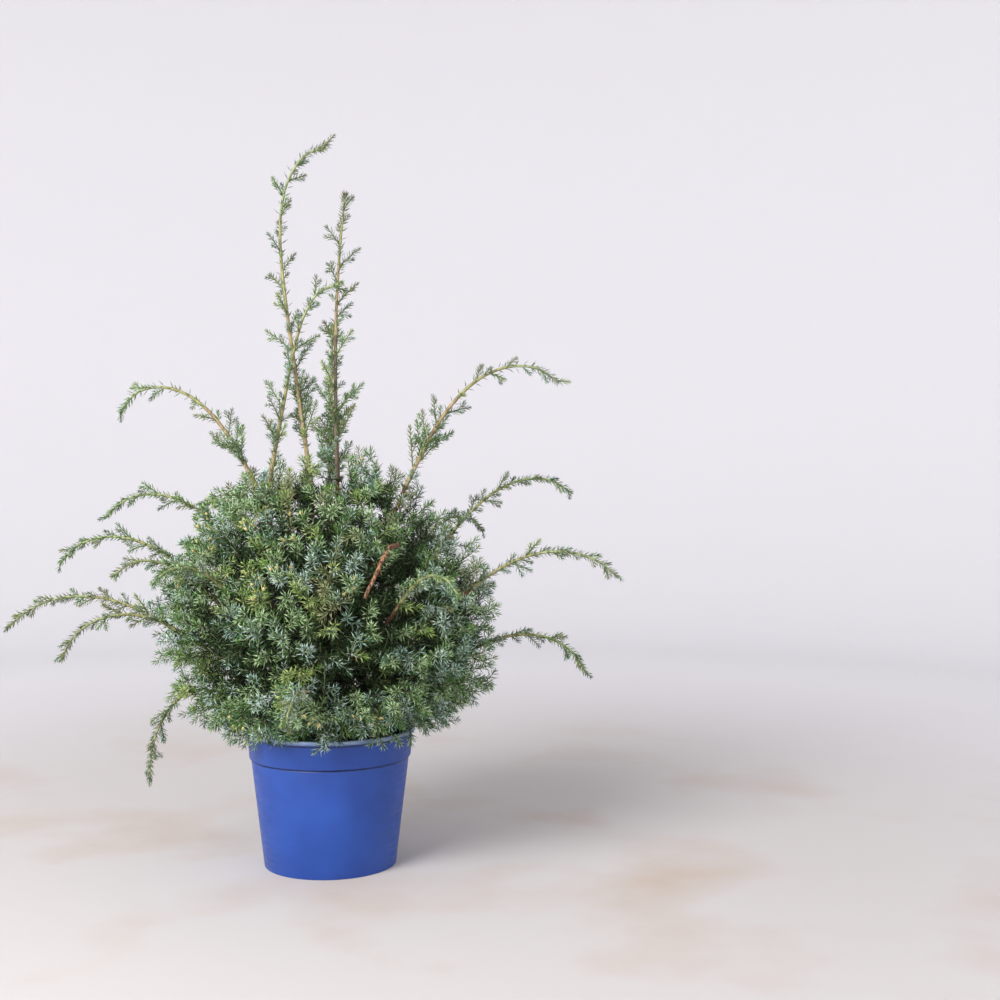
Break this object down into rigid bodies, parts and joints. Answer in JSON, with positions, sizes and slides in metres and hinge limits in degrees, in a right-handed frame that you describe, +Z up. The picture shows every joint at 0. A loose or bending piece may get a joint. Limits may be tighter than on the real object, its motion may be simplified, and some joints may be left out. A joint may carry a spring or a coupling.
{
  "type": "potted juniper",
  "caption": "Young spreading juniper in a blue nursery pot: a dense crown of needled twigs, with long leading shoots that arch and nod out of it.",
  "frame": {"origin": "centre of the pot's flat underside", "axes": "+Z up along the pot's axis; -X is the side to which the long low shoots of the picture arch; -Y is the front"},
  "size_m": [0.578, 0.4641, 0.6923],
  "materials": {
    "pot_plastic": "smooth moulded plastic with a low satin sheen, mid blue",
    "compost": "moist fibrous peat and bark compost, dark brown",
    "bark": "thin scaly bark, red-brown, matt",
    "shoot_needles": "young needles, yellow-green to blue-green, matt",
    "crown_needles": "awl-shaped needles, blue-grey above and green below, matt with a waxy bloom"
  },
  "bodies": {
    "root": {"pot": "pot_plastic", "compost": "compost", "trunk": "bark", "bough_left_high": "bark", "bough_left_upper": "bark", "bough_left_middle": "bark", "bough_left_lower": "bark", "bough_left_skirt": "bark", "bough_top": "bark", "bough_right_high": "bark", "bough_right_upper": "bark", "bough_right_middle": "bark", "bough_right_lower": "bark", "bough_back_high": "bark", "bough_back_left": "bark", "bough_back_right": "bark", "bough_back_lower": "bark", "bough_front_left": "bark", "bough_front_right": "bark", "bough_front_lower": "bark", "shoot_top": "shoot_needles", "shoot_top_second": "shoot_needles", "shoot_left_arch": "shoot_needles", "shoot_left_arch_end": "shoot_needles", "shoot_left_upright": "shoot_needles", "shoot_left_upper": "shoot_needles", "shoot_left_middle": "shoot_needles", "shoot_left_short": "shoot_needles", "shoot_left_lower": "shoot_needles", "shoot_left_fork": "shoot_needles", "shoot_left_hanging": "shoot_needles", "shoot_right_arch": "shoot_needles", "shoot_right_arch_end": "shoot_needles", "shoot_right_upper": "shoot_needles", "shoot_right_middle": "shoot_needles", "shoot_right_lower": "shoot_needles", "shoot_back_high": "shoot_needles", "shoot_back_left": "shoot_needles", "shoot_back_right": "shoot_needles", "shoot_back_lower": "shoot_needles", "shoot_front_left": "shoot_needles", "shoot_front_right": "shoot_needles", "shoot_front_lower": "shoot_needles", "foliage_skirt_1": "crown_needles", "foliage_skirt_2": "crown_needles", "foliage_skirt_3": "crown_needles", "foliage_skirt_4": "crown_needles", "foliage_skirt_5": "crown_needles", "foliage_waist_1": "crown_needles", "foliage_waist_2": "crown_needles", "foliage_waist_3": "crown_needles", "foliage_waist_4": "crown_needles", "foliage_waist_5": "crown_needles", "foliage_shoulder_1": "crown_needles", "foliage_shoulder_2": "crown_needles", "foliage_shoulder_3": "crown_needles", "foliage_shoulder_4": "crown_needles", "foliage_top_1": "crown_needles", "foliage_top_2": "crown_needles"}
  },
  "joints": []
}
